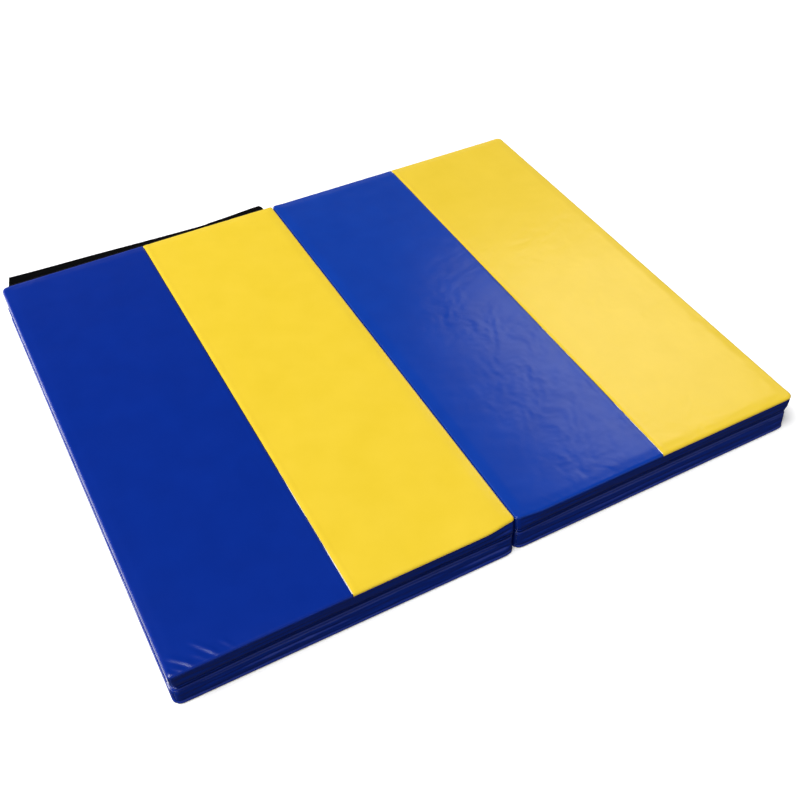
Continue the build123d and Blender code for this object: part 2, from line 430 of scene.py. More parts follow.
class Panel:
    """One panel: its size, and the way from its own coordinates to the row frame."""

    def __init__(self, name, face_up, outer, seed, waist, bulge):
        self.name, self.face_up, self.outer, self.seed = name, face_up, outer, seed
        self.waist, self.bulge = waist, bulge
        low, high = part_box(f"{name}_back_sheet")
        self.half_x = (high.x - low.x) / 2
        self.half_y = (high.y - low.y) / 2
        self.centre = Vector(((low.x + high.x) / 2, (low.y + high.y) / 2, 0))
        self.back_z = low.z if face_up else high.z
        face_low, face_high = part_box(f"{name}_face_blue")
        self.thickness = face_high.z - low.z if face_up else high.z - face_low.z
        self.turn = 1 if face_up else -1
        self.face = FACES.get(name, HIDDEN_FACE)

    def place(self, points):
        """Points from the panel's own coordinates to the row frame."""
        points = np.asarray(points, float)
        x = self.centre.x + self.turn * points[..., 0]
        y = self.centre.y + points[..., 1]
        z = self.back_z + self.turn * points[..., 2]
        return np.stack([x, y, z], axis=-1)

    def middle(self):
        """The panel's middle, in the row frame."""
        return self.place(np.array([0, 0, self.thickness / 2]))

    def corner_radius(self, side_x, side_y, level):
        """The plan corner's radius: level is 0 at the back and 1 at the face."""
        side_x, side_y = np.asarray(side_x, float), np.asarray(side_y, float)
        outside = WALL_CORNER + (FACE_CORNER - WALL_CORNER) * level
        if not self.face_up:
            return np.full_like(side_x, outside)
        tight = WALL_CORNER + (TIGHT_CORNER - WALL_CORNER) * smooth(0.35, 0.9, level)
        at_outer_side = side_x * self.outer > 0
        bunched = (self.name == "panel_2") & at_outer_side & (side_y < 0)
        return np.where(at_outer_side & ~bunched, outside, tight)

    def settle(self, points):
        """The slow changes of shape that all of a panel's sheets share, so that seams stay closed."""
        x, y, z = points[..., 0], points[..., 1], points[..., 2]
        level = z / self.thickness
        near_back = 1 - smooth(0.0, 0.42, level)
        front_side = near_edge(-y, self.half_y, 45 * MM)
        moved = points.copy()
        outer_side = near_edge(x * self.outer, self.half_x, 45 * MM)
        moved[..., 0] -= self.outer * self.waist * near_back * outer_side
        mid_span = 1 - smooth(0.45, 1.0, np.clip(np.abs(x) / self.half_x, 0, 1))
        drawn_in = (1.2 + 2.6 * mid_span) * MM
        moved[..., 1] += drawn_in * near_back * front_side
        seam_z = self.thickness - EDGE
        beside_seam = smooth(seam_z - 16 * MM, seam_z, z) * np.clip((self.thickness - z) / EDGE, 0, 1)
        if self.face_up:
            beside_fold = near_edge(-x * self.outer, self.half_x, 85 * MM) ** 1.5
            drawn = beside_fold * near_edge(-y, self.half_y, 85 * MM) * smooth(0.3, 0.95, level)
            moved[..., 1] += self.face["drawn_back"] * drawn
            moved[..., 2] += RAISED_SEAM * beside_seam * front_side
        else:
            share = np.clip((x + self.half_x) / (2 * self.half_x), 0, 1)
            outward = self.bulge[0] + (self.bulge[1] - self.bulge[0]) * share
            round_corner = 1 - 0.5 * near_edge(np.abs(x), self.half_x, 30 * MM)
            moved[..., 1] -= outward * smooth(0.35, 0.95, level) * front_side * round_corner
            moved[..., 2] += PRESSED_SEAM * beside_seam
        return moved


def rounded_plan(panel, x, y, level):
    """A square grid's points moved onto the rounded outline: x, y, depth inside it, normal."""
    sign_x, sign_y = np.sign(x), np.sign(y)
    x, y = np.abs(x), np.abs(y)
    radius = panel.corner_radius(sign_x, sign_y, level)
    a = np.clip((x - panel.half_x + radius) / radius, 0, 1)
    b = np.clip((y - panel.half_y + radius) / radius, 0, 1)
    u = a * np.sqrt(1 - b * b / 2)
    v = b * np.sqrt(1 - a * a / 2)
    out = np.maximum(np.hypot(u, v), 1e-9)
    corner = (a > 0) & (b > 0)
    inside_x, inside_y = panel.half_x - x, panel.half_y - y
    plan_x = np.where(corner, panel.half_x - radius + radius * u, x)
    plan_y = np.where(corner, panel.half_y - radius + radius * v, y)
    depth = np.where(corner, radius * (1 - out), np.minimum(inside_x, inside_y))
    normal_x = np.where(corner, u / out, inside_x < inside_y)
    normal_y = np.where(corner, v / out, inside_x >= inside_y)
    return plan_x * sign_x, plan_y * sign_y, depth, normal_x * sign_x, normal_y * sign_y


# ------------ faces and backs

# A hem beyond the sheet's edge: how far it stands out of the wall and how far below the seam, in
# millimetres. Under a panel that lies on its face, the wall's hem is the outer one.
HEM = [(0.30, -0.5), (0.38, 0.2), (0.10, 0.8), (-0.9, 1.1), (-2.2, 0.8)]
INNER_HEM = [(-0.25, -0.9), (-0.6, -0.5), (-1.2, -0.2), (-2.0, 0.0), (-2.8, 0.0)]
# The colour seam: half its gap, the roll of each half down into it, and the two rows of each half's
# fold below that, as a distance from the seam's middle and a height. The blue half's closes the gap.
SEAM_GAP = 1.0 * MM
SEAM_ROLL = 0.6 * MM
COLOUR_HEMS = {"blue": [(0.90, -0.7), (-0.80, -1.2)], "yellow": [(0.95, -0.8), (0.75, -1.6)]}
ROLL_ANGLES = [88, 78, 67, 56, 45, 33, 20, 8]


def graded(spans):
    """Positions from 0 up, as (end, step) spans in millimetres."""
    found, start = [0.0], 0.0
    for end, step in spans:
        count = max(1, round((end - start) / step))
        found += [start + (end - start) * k / count for k in range(1, count + 1)]
        start = end
    return [f * MM for f in found]


def edge_lines(half, border, step, coarse, seam=()):
    """Grid lines from a panel's middle to its edge, as (position, hem row). Their step is smaller
    within the border, and seam can give the spans beside the middle."""
    roll = [half - EDGE * (1 - math.sin(math.radians(a))) for a in reversed(ROLL_ANGLES)]
    inner = graded([*seam, ((half - border) / MM, coarse), ((half - 1.3 * EDGE) / MM, step)])
    lines = [(p, 0) for p in [*inner, *roll, half]]
    return lines + [(half, k + 1) for k in range(len(HEM))]


def both_sides(lines):
    """Grid lines for the other half too, mirrored."""
    return [(-p, h) for p, h in reversed(lines) if p > 0] + lines


def ridge(x, y, start, angle, length, width, height):
    """One pucker: a soft ridge that starts at a point and fades along its length."""
    c, s = math.cos(math.radians(angle)), math.sin(math.radians(angle))
    along = (x - start[0]) * c + (y - start[1]) * s
    across = (y - start[1]) * c - (x - start[0]) * s
    shape = smooth(-0.12 * length, 0.25 * length, along) * (1 - smooth(0.35 * length, length, along))
    hump = bump(across, 0, width) - 0.55 * bump(across, 1.7 * width, width)
    return height * shape * hump


# The puckers that the photo shows on panel 2's front outer corner:
# along the front edge from the corner, depth from the edge, direction, length, width, height
CORNER_PUCKERS = [
    (128, 6, 126, 40, 3.4, 1.10),
    (98, 5, 129, 72, 3.8, 2.50),
    (76, 5, 133, 40, 3.0, 1.05),
    (52, 4, 137, 66, 3.6, 2.30),
    (30, 4, 140, 30, 2.6, 1.25),
    (12, 4, 130, 18, 2.2, 1.25),
]
# The ranges of the same six for the faint puckers on every other corner
FAINT_PUCKERS = [(12, 120), (4, 7), (118, 150), (18, 45), (2.4, 4.5), (0.10, 0.32)]


def corner_puckers(panel, x, y):
    """The listed puckers on panel 2, and four faint ones of their own on every other corner."""
    total = np.zeros(x.shape)
    draw = np.random.default_rng(panel.seed)
    for side_x, side_y in CORNERS:
        puckers = CORNER_PUCKERS
        if panel.name != "panel_2" or side_x > 0 or side_y > 0:
            puckers = [[draw.uniform(*limits) for limits in FAINT_PUCKERS] for _ in range(4)]
        for along, deep, angle, length, width, height in puckers:
            start = (-panel.half_x + along * MM, -panel.half_y + deep * MM)
            total += ridge(x * -side_x, y * -side_y, start, angle, length * MM, width * MM, height * MM)
    return total


def crumples(panel, x, y):
    """Small soft dents, which show where the face catches the light: more towards the colour seam
    and the front."""
    bent_x = x + 14 * MM * waves(x, y, panel.seed + 9, 130 * MM)
    bent_y = y + 14 * MM * waves(x, y, panel.seed + 10, 130 * MM)
    small = waves(bent_x, 1.15 * bent_y, panel.seed + 6, 23 * MM, 20)
    large = waves(bent_x, 1.15 * bent_y, panel.seed + 7, 58 * MM, 12)
    patch = np.clip(0.7 + 0.3 * waves(x, y, panel.seed + 8, 240 * MM, 6), 0.2, 1.3)
    by_place = 0.2 + 0.8 * smooth(-0.85, -0.2, x / panel.half_x) - 0.4 * smooth(-0.1, 0.1, x / panel.half_x)
    to_front = 0.4 + 0.6 * smooth(0.6, -0.4, y / panel.half_y)
    height = 0.15 * small + 0.18 * large
    return panel.face["crumpled"] * patch * by_place * to_front * height * MM


def edge_roll(depth, squareness=2.0):
    """How far a sheet has dropped, by the distance to its edge. A squareness of 2 is a round roll."""
    share = np.clip(1 - depth / EDGE, 0, 1)
    return EDGE * (1 - np.maximum(1 - share ** squareness, 0) ** (1 / squareness))


def face_height(panel, x, y, depth, side):
    """How far the face stands above the panel's nominal face, at each point of its plan. side is -1
    for the blue half and 1 for the yellow one."""
    beside_fold = smooth(panel.half_x - 30 * MM, panel.half_x - 4 * MM, -x * panel.outer)
    roll = edge_roll(depth, 2 + (panel.face["squareness"] - 2) * beside_fold)
    outer_side = near_edge(x * panel.outer, panel.half_x, 60 * MM)
    crown = panel.face["crown"] + (1.0 * MM - panel.face["crown"]) * outer_side
    crown = crown * (1 - smooth(0, 28 * MM, depth))
    fade = smooth(3 * MM, 22 * MM, depth)
    broad = 0.16 * MM * waves(x, y, panel.seed + 1, 170 * MM)
    fine = 0.05 * MM * waves(x, y, panel.seed + 2, 45 * MM) + crumples(panel, x, y)
    across = np.clip((np.abs(x) - SEAM_GAP) / SEAM_ROLL, 0, 1)
    valley = SEAM_ROLL * (np.sqrt(np.maximum(1 - (1 - across) ** 2, 0)) - 1)
    valley += -0.5 * MM * bump(x, 0, 5 * MM) + 0.3 * MM * bump(x, 8 * MM * side, 5 * MM)
    valley = valley * smooth(-2 * MM, 6 * MM, depth)
    seam_tension = 0.14 * MM * waves(x, y, panel.seed + 3, 17 * MM) * bump(depth, 5 * MM, 7 * MM)
    ripple = (broad + fine) * fade + seam_tension
    if panel.face_up:
        ripple = ripple + corner_puckers(panel, x, y)
        return np.minimum(ripple + valley - crown, 0.9 * MM) - roll
    return np.minimum(ripple, 0) + valley - roll - crown


def plan_sheet(panel, columns, rows, top, shape):
    """The points of a face or back sheet. top is its nominal level, shape gives its height there."""
    x, hem_x = (np.array(v, float) for v in zip(*columns))
    y, hem_y = (np.array(v, float) for v in zip(*rows))
    x, y = np.meshgrid(x, y)
    hem = np.maximum(*np.meshgrid(hem_x, hem_y)).astype(int)
    plan_x, plan_y, depth, normal_x, normal_y = rounded_plan(panel, x, y, top / panel.thickness)
    hem_rows = INNER_HEM if top > 0 and not panel.face_up else HEM
    out, down = np.array([(0, 0), *hem_rows]).T[:, hem] * MM
    outward = 1 if top > 0 else -1
    z = top + outward * (shape(plan_x, plan_y, depth) - down)
    points = np.stack([plan_x + normal_x * out, plan_y + normal_y * out, z], axis=-1)
    return panel.settle(points)


def colour_half(panel, colour):
    """The blue or yellow half of a panel's face, hemmed all round."""
    side = -1 if colour == "blue" else 1
    near_seam = [(0.6, 0.2), (7, 1.1), (20, 3.2)]
    coarse = 4.2 if panel.face_up else 12.0
    half = edge_lines(panel.half_x, 128 * MM, 4.2, coarse, near_seam)
    columns = [(side * (p + SEAM_GAP * (1 - smooth(0, 6 * MM, p))), h) for p, h in half]
    rows = both_sides(edge_lines(panel.half_y, 96 * MM, 4.0, 1.1 * coarse))

    def shape(x, y, depth):
        return face_height(panel, x, y, depth, side)

    points = plan_sheet(panel, columns, rows, panel.thickness, shape)
    hem = COLOUR_HEMS[colour]
    fold = np.stack([points[:, 0]] * len(hem), axis=1)
    for k, (across, height) in enumerate(reversed(hem)):
        fold[:, k, 0] = side * across * MM
        fold[:, k, 2] += height * MM
    points = np.concatenate([fold, points], axis=1)
    materials = {"blue": BLUE, "yellow": YELLOW}
    # Panel 3 has a lighter blue, and a darker yellow that is painted shade
    if panel.name == "panel_3":
        materials = {"blue": LIGHT_BLUE, "yellow": PAINTED_SHADE_YELLOW}
    cover_sheet(panel, f"{panel.name}_face_{colour}", points, materials[colour])


def back_sheet(panel):
    """The plain sheet on a panel's back."""
    columns = both_sides(edge_lines(panel.half_x, 60 * MM, 6.0, 14.0))
    rows = both_sides(edge_lines(panel.half_y, 60 * MM, 6.0, 14.0))

    def shape(x, y, depth):
        ripple = 0.14 * MM * waves(x, y, panel.seed + 5, 130 * MM) - 0.14 * MM
        return ripple * smooth(3 * MM, 20 * MM, depth) - edge_roll(depth) - 0.15 * MM

    points = plan_sheet(panel, columns, rows, 0.0, shape)
    cover_sheet(panel, f"{panel.name}_back_sheet", points, BLUE)


def panel_sheet(panel, name, points, material, thickness):
    """A sheet through points in a panel's own coordinates, with its thickness on the inner side."""
    obj = grid_object(name, panel.place(points), material)
    merge_close(obj)
    face_out(obj, panel.middle())
    thicken(obj, thickness)
    return obj


def cover_sheet(panel, name, points, material):
    """One sheet of a panel's cover, in place of the CAD node of this name."""
    obj = panel_sheet(panel, f"{name}_sheet", points, material, SHEET)
    attach([obj], name, panel.name)


# ------------ walls


def wall_outline(panel, side, columns, level):
    """One side wall's plan points and normals, from the middle of one corner to the next."""
    turned = side in ("left", "right")
    sign = 1 if side in ("back", "right") else -1
    along_half, across_half = (panel.half_y, panel.half_x) if turned else (panel.half_x, panel.half_y)
    radii = {0: 0.0}
    for end in (-1, 1):
        corner = (sign, end) if turned else (end, sign)
        radii[end] = panel.corner_radius(*corner, level)
    low, high = radii[-1] - along_half, along_half - radii[1]
    points = []
    for end, share in columns:
        angle = end * math.radians(45) * share
        middle = end * (along_half - radii[end]) if end else low + (high - low) * share
        along = middle + radii[end] * math.sin(angle)
        across = across_half - radii[end] + radii[end] * math.cos(angle)
        points.append((along, sign * across, math.sin(angle), sign * math.cos(angle)))
    points = np.array(points)
    return points[:, [1, 0, 3, 2]] if turned else points


def wall_columns(length):
    """Where a wall's grid columns are: (-1 or 1, share of the way round that end's half corner),
    or (0, share of the way along the straight stretch)."""
    count = round(length / WALL_STEP)
    low = [(-1, 1 - k / ARC_STEPS) for k in range(ARC_STEPS)]
    high = [(1, k / ARC_STEPS) for k in range(1, ARC_STEPS + 1)]
    return low + [(0, k / count) for k in range(count + 1)] + high


def wall_creases(panel, side, along, level, length):
    """How far a wall stands out of or into its flat shape: long slack creases between the seams."""
    seed = panel.seed * 7 + {"front": 1, "back": 2, "left": 3, "right": 4}[side]
    fade = smooth(0, 0.12, level) * (1 - smooth(0.88, 1.0, level))
    ends = smooth(0, 0.03, along) * (1 - smooth(0.97, 1.0, along))
    total = np.zeros(along.shape)
    draw = np.random.default_rng(seed)
    for middle, usual in ((0.27, 0.3), (0.52, 0.9), (0.76, 0.25)):
        middle += draw.uniform(-0.05, 0.05)
        drift = 0.075 * waves(along * length, 0, draw.integers(1000), 330 * MM, 5)
        strength = usual + 0.55 * waves(along * length, 0, draw.integers(1000), 260 * MM, 5)
        above = level - middle - drift
        shape = 0.55 * bump(above, 0.17, 0.12) - 1.25 * bump(above, 0, 0.085)
        total += np.clip(strength, 0, 1.6) * shape * MM
    ripple = 0.22 * MM * waves(along * length, 2 * level * panel.thickness, seed + 30, 46 * MM)
    if side == "back":
        middle = np.abs(along - 0.5) * length
        z = EDGE + level * (panel.thickness - 2 * EDGE)
        band = bump(z, zip_height(panel), 6.0 * MM) * (1 - smooth(ZIP_HALF, ZIP_HALF + 25 * MM, middle))
        taped = 1.0 if panel.face_up else 0.0
        stiff = np.maximum(band, taped * smooth(panel.thickness - 36 * MM, panel.thickness - 30 * MM, z))
        return (total * ends + ripple) * fade * (1 - stiff) - 0.7 * MM * band
    return (total * ends + ripple) * fade


def wall_tuck(panel, z):
    """How far the wall is drawn in beside its two seams. Where the panel lies on its face, a groove
    and a ridge run beside the seam that is near the floor."""
    low, high = EDGE, panel.thickness - EDGE
    beside_back = BACK_TUCK * (1 - smooth(0, TUCK_REACH, z - low))
    beside_face = FACE_TUCK * (1 - smooth(0, TUCK_REACH, high - z))
    if panel.face_up:
        under_lip = 1.2 * MM * bump(z, high - 0.6 * MM, 1.8 * MM)
        return np.maximum(beside_back, beside_face) + under_lip
    groove = 1.5 * MM * bump(z, high - 4.6 * MM, 1.8 * MM)
    ridge_out = 1.6 * MM * bump(z, high - 0.6 * MM, 1.8 * MM)
    return beside_back + groove - ridge_out


def wall_levels(panel):
    """Heights of a wall's grid rows, as (height, extra tuck), from the back seam to the face seam."""
    low, high = EDGE, panel.thickness - EDGE
    rows = [(low - 0.9 * MM, 1.75 * MM), (low - 0.7 * MM, 0.45 * MM)]
    rows += [(low + (high - low) * k / WALL_ROWS, 0.0) for k in range(WALL_ROWS + 1)]
    if panel.face_up:
        return rows + [(high + 0.7 * MM, 0.45 * MM), (high + 0.9 * MM, 1.75 * MM)]
    return rows + [(high + 0.8 * MM, 0.2 * MM), (high + 1.4 * MM, 1.1 * MM), (high + 1.2 * MM, 2.6 * MM)]


def wall(panel, side):
    """One side wall of a panel's cover."""
    length = 2 * (panel.half_y if side in ("left", "right") else panel.half_x)
    columns = wall_columns(length)
    rows = []
    low, high = EDGE, panel.thickness - EDGE
    for z, hem in wall_levels(panel):
        outline = wall_outline(panel, side, columns, np.clip(z / panel.thickness, 0, 1))
        spans = np.linalg.norm(np.diff(outline[:, :2], axis=0), axis=1)
        travelled = np.concatenate([[0], np.cumsum(spans)])
        along = travelled / travelled[-1]
        level = np.clip((z - low) / (high - low), 0, 1)
        seam = CORNER_PINCH * bump(np.minimum(travelled, travelled[-1] - travelled), 0, 1.4 * MM)
        out = wall_creases(panel, side, along, level, length) - wall_tuck(panel, z) - hem - seam
        plan = outline[:, :2] + outline[:, 2:] * out[:, None]
        rows.append(np.column_stack([plan, np.full(len(plan), z)]))
    points = panel.settle(np.array(rows))
    cover_sheet(panel, f"{panel.name}_wall_{side}", points, BLUE)


# ------------ foam


def foam_core(panel):
    """The slab of foam inside a panel's cover, with softly rounded edges."""
    columns = wall_columns(2 * panel.half_x)[::3] + [(1, 1.0)]
    height = panel.thickness / MM - 2 * FOAM_INSET / MM
    levels = FOAM_EDGE + [(height - z, tuck) for z, tuck in reversed(FOAM_EDGE)]
    loops = []
    for z, tuck in levels:
        loop = []
        for side, direction in (("front", 1), ("right", 1), ("back", -1), ("left", -1)):
            outline = wall_outline(panel, side, columns, 0.5)
            plan = outline[:, :2] - outline[:, 2:] * (FOAM_INSET + tuck * MM)
            loop += [(*p, FOAM_INSET + z * MM) for p in plan[::direction][:-1]]
        loops.append(loop)
    points = panel.settle(np.array(loops))
    faces = tube_faces(len(loops), points.shape[1])
    obj = mesh_object(f"{panel.name}_foam_slab", panel.place(points), faces, FOAM)
    face_out(obj, panel.middle())
    attach([obj], f"{panel.name}_foam_core", panel.name)


# ------------ threads, zippers and tapes


def capsules(name, pairs, material, radius, sides=6):
    """Many short round bars in one mesh, each between the two points of a pair."""
    pairs = np.asarray(pairs, float)
    run = pairs[:, 1] - pairs[:, 0]
    run /= np.linalg.norm(run, axis=1)[:, None]
    helper = np.where(np.abs(run[:, 2:]) < 0.9, [[0.0, 0.0, 1.0]], [[0.0, 1.0, 0.0]])
    across = np.cross(run, helper)
    across /= np.linalg.norm(across, axis=1)[:, None]
    up = np.cross(run, across)
    points, faces = [], []
    for k in range(len(pairs)):
        faces += tube_faces(len(BAR_RINGS), sides, len(points))
        for end, beyond, share in BAR_RINGS:
            centre = pairs[k, end] + run[k] * radius * beyond
            for j in range(sides):
                angle = 2 * math.pi * j / sides
                spoke = across[k] * math.cos(angle) + up[k] * math.sin(angle)
                points.append(centre + spoke * radius * share)
    return mesh_object(name, points, faces, material)


def running_stitches(start, end):
    """The two ends of every stitch in a straight row."""
    start, end = Vector(start), Vector(end)
    run = end - start
    count = max(1, int(run.length / (STITCH + STITCH_GAP)))
    step = run / count
    stitch = step * (STITCH / (STITCH + STITCH_GAP))
    return [(start + step * k, start + step * k + stitch) for k in range(count)]


def zip_height(panel):
    """The zipper's centre line above the panel's back."""
    low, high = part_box(f"{panel.name}_zipper")
    return abs((low.z + high.z) / 2 - panel.back_z)


def on_back_wall(panel, x, z, out):
    """A point this far outside the panel's back wall."""
    point = np.array([x, panel.half_y - wall_tuck(panel, z) + out, z])
    return panel.settle(point)


def wall_stitches(panel, name, lines, material, out, radius):
    """Rows of stitches on the back wall, along lines given by their two (x, z) ends."""
    bars = []
    for line in lines:
        start, end = (panel.place(on_back_wall(panel, x, z, out)) for x, z in line)
        bars += running_stitches(start, end)
    return capsules(name, bars, material, radius, sides=5)


def tape_ranges(panel, node):
    """The x range and z range of a CAD tape on the panel's back wall, in the panel's own coordinates."""
    low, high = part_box(node)
    x_range = (low.x - panel.centre.x, high.x - panel.centre.x)
    return x_range, (low.z - panel.back_z, high.z - panel.back_z)


def tape_grid(panel, x_range, z_range, out, arch=0.35 * MM, wave=0.0, rows=9):
    """A tape's points, this far outside the back wall: lowest edge first, slightly arched across."""
    step = 6 * MM
    columns = max(2, round((x_range[1] - x_range[0]) / step))
    grid = np.zeros((rows, columns + 1, 3))
    for i in range(rows):
        share = i / (rows - 1)
        z = z_range[0] + (z_range[1] - z_range[0]) * share
        rounded = arch * (1 - (2 * share - 1) ** 4)
        for k in range(columns + 1):
            x = x_range[0] + (x_range[1] - x_range[0]) * k / columns
            end = 1 - smooth(0, 2 * step, min(k, columns - k) * step)
            ripple = wave * waves(x, z, panel.seed + 60, 40 * MM)
            grid[i, k] = on_back_wall(panel, x, z, out + rounded - 0.3 * arch * end + ripple)
    return grid


def zipper(panel):
    """A coil zipper: its tape between the wall's two folded edges, the coil's elements, and the stops."""
    node = f"{panel.name}_zipper"
    centre_z = zip_height(panel)
    tape_z = (centre_z - ZIP_TAPE, centre_z + ZIP_TAPE)
    grid = tape_grid(panel, (-ZIP_HALF, ZIP_HALF), tape_z, out=-0.15 * MM)
    tape = panel_sheet(panel, f"{node}_tape", grid, ZIP_TAPE_FABRIC, thickness=0.5 * MM)

    def on_coil(x, z):
        return panel.place((x, panel.half_y + 0.35 * MM, z))

    elements = []
    for k in range(int(2 * (ZIP_HALF - COIL_MARGIN) / COIL_PITCH)):
        x = -ZIP_HALF + COIL_MARGIN + k * COIL_PITCH
        shift = COIL_SHIFT if k % 2 else -COIL_SHIFT
        elements.append((on_coil(x, centre_z - COIL_HALF + shift),
                         on_coil(x + 0.35 * MM, centre_z + COIL_HALF + shift)))
    coil = capsules(f"{node}_coil", elements, COIL, radius=0.58 * MM)
    bars = []
    for x in (-ZIP_HALF + 2.2 * MM, ZIP_HALF - 2.2 * MM):
        for z in (-1.0, 0.0, 1.0):
            bars.append([on_coil(x + end * MM, centre_z + z * MM) for end in (-1.0, 1.0)])
    stops = capsules(f"{node}_stops", bars, METAL, radius=0.7 * MM, sides=8)
    lines = []
    for side in (-1, 1):
        z = centre_z + side * (ZIP_TAPE + 1.6 * MM)
        lines.append(((-ZIP_HALF, z), (ZIP_HALF, z)))
    name = f"{node}_stitches"
    stitches = wall_stitches(panel, name, lines, BLUE_THREAD, out=0.05 * MM, radius=0.24 * MM)
    attach([tape, coil], node, panel.name)
    attach([stops], node, panel.name)
    attach([stitches], node, panel.name)


def corner_stitches(panel):
    """The stitches that hold the four upright corner seams, across the pinch."""
    low, high = EDGE + 2.5 * MM, panel.thickness - EDGE - 2.5 * MM
    count = 11
    half = 0.8 * MM
    bars = []
    for side_x, side_y in CORNERS:
        for k in range(count):
            z = low + (high - low) * k / (count - 1)
            radius = panel.corner_radius(side_x, side_y, z / panel.thickness)
            out = radius - wall_tuck(panel, z) - CORNER_PINCH + 0.45 * MM
            x = panel.half_x - radius + out * math.sqrt(0.5)
            y = panel.half_y - radius + out * math.sqrt(0.5)
            stitch = np.array([(side_x * (x + way * half), side_y * (y - way * half), z) for way in (-1, 1)])
            bars.append(panel.place(panel.settle(stitch)))
    obj = capsules(f"{panel.name}_corner_stitches", bars, BLUE_THREAD, radius=0.28 * MM)
    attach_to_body(obj, panel.name)


def loop_tape(panel):
    """The loop tape on panel 3's back wall, sewn down all round."""
    x_range, z_range = tape_ranges(panel, "loop_tape")
    grid = tape_grid(panel, x_range, z_range, out=0.55 * MM, arch=0.5 * MM, wave=0.05 * MM, rows=13)
    strip = panel_sheet(panel, "loop_tape_strip", grid, LOOP_TAPE, thickness=1.0 * MM)
    inset = 2.0 * MM
    left, right = x_range[0] + inset, x_range[1] - inset
    bottom, top = z_range[0] + inset, z_range[1] - inset
    corners = [(left, bottom), (right, bottom), (right, top), (left, top)]
    lines = zip(corners, corners[1:] + corners[:1])
    name = "loop_tape_stitches"
    stitches = wall_stitches(panel, name, lines, BLACK_THREAD, out=0.88 * MM, radius=0.26 * MM)
    attach([strip, stitches], "loop_tape", "panel_3")


def sewn_edge(panel):
    """The flap's edge, sewn flat onto panel 2's back wall with two rows of stitches."""
    x_range, z_range = tape_ranges(panel, "hook_flap_sewn_edge")
    grid = tape_grid(panel, x_range, z_range, out=0.5 * MM, arch=0.25 * MM)
    strip = panel_sheet(panel, "hook_flap_sewn_strip", grid, HOOK_TAPE, thickness=0.8 * MM)
    lines = []
    for z in (z_range[0] + 1.6 * MM, z_range[0] + 5.0 * MM):
        lines.append([(x, z) for x in x_range])
    name = "hook_flap_sewn_strip_stitches"
    stitches = wall_stitches(panel, name, lines, BLACK_THREAD, out=0.70 * MM, radius=0.25 * MM)
    attach([strip, stitches], "hook_flap_sewn_edge", "panel_2")
    return [strip, stitches]


def flap_droop(share):
    """The flap's droop in degrees along its length, from the outer end, with a kink past the middle."""
    return 4 + 22 * min(share / 0.76, 1) - 2.5 * smooth(0.765, 0.79, share) - 7 * smooth(0.79, 1, share)


def flap_grid(low, high, wall_y, seam_z, reach):
    """The flap's points, from the seam outwards, between the ends of the CAD flap's box."""
    spans = [(24, 1.5), ((high.x - low.x - FLAP_END_INSET) / MM, 4.0)]
    columns = [low.x + FLAP_END_INSET + v for v in graded(spans)]
    rows = 19
    step = reach / (rows - 1)
    grid = np.zeros((rows, len(columns), 3))
    for k, x in enumerate(columns):
        share = (x - low.x) / (high.x - low.x)
        lean = FLAP_SLANT * (1 - smooth(0, 60 * MM, x - low.x))
        droop = math.radians(flap_droop(share))
        ripple = 0.8 * MM * waves(x, 0, 77, 210 * MM, 5)
        point = np.array([x, wall_y - 1.2 * MM, seam_z + 0.25 * MM])
        grid[0, k] = point
        for i in range(1, rows):
            done = i / (rows - 1)
            bend = droop * (0.15 + 1.35 * smooth(0, 0.75, done))
            point = point + [0, math.cos(bend) * step, -math.sin(bend) * step]
            grid[i, k] = point + [lean * done, 0, ripple * done ** 2]
    return grid


def hook_flap(sewn_pieces):
    """The flap of hook tape: sewn into the face seam, it leaves the wall and droops, more at one end."""
    low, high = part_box("hook_flap")
    edge_low, edge_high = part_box("hook_flap_sewn_edge")
    wall_y, seam_z = edge_low.y, edge_high.z
    reach = high.y - low.y + FLAP_TUCKED_IN
    grid = flap_grid(low, high, wall_y, seam_z, reach)
    tape = grid_object("hook_flap_tape", grid, HOOK_TAPE)
    if tape.data.polygons[0].normal.z < 0:
        tape.data.flip_normals()
    thicken(tape, 1.5 * MM)
    bars = []
    lift = [0, 0, 0.12 * MM]
    for row in (grid[3], grid[-2]):
        for a, b in zip(row, row[1:]):
            bars.append([a + share * (b - a) + lift for share in (0.1, 0.75)])
    stitches = capsules("hook_flap_stitches", bars, BLACK_THREAD, radius=0.25 * MM, sides=5)
    for piece in (tape, stitches):
        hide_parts("hook_flap")
        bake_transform(piece)


def plate_metal_parts():
    """Nickel on the zippers' sliders and pulls, the CAD pieces that nothing here replaces."""
    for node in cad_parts.values():
        if not node.hide_render:
            node.data.materials.clear()
            node.data.materials.append(METAL)


# ------------ hinge strips


def strip_along(name, section, low_y, high_y, seed):
    """A hinge strip with this section of (x, z) points, a little uneven along its length."""
    count = round((high_y - low_y) / (9 * MM))
    y = np.linspace(low_y, high_y, count + 1)
    grid = np.zeros((len(section), len(y), 3))
    uneven = 0.12 * MM * waves(y, 0, seed, 120 * MM, 6)
    for i, (x, z) in enumerate(section):
        grid[i, :, 0] = x + uneven * 0.5
        grid[i, :, 1] = y
        grid[i, :, 2] = z + uneven * 0.5
    obj = grid_object(f"{name}_fabric", grid, BLUE)
    thicken(obj, 0.35 * MM)
    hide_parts(name)
    return obj


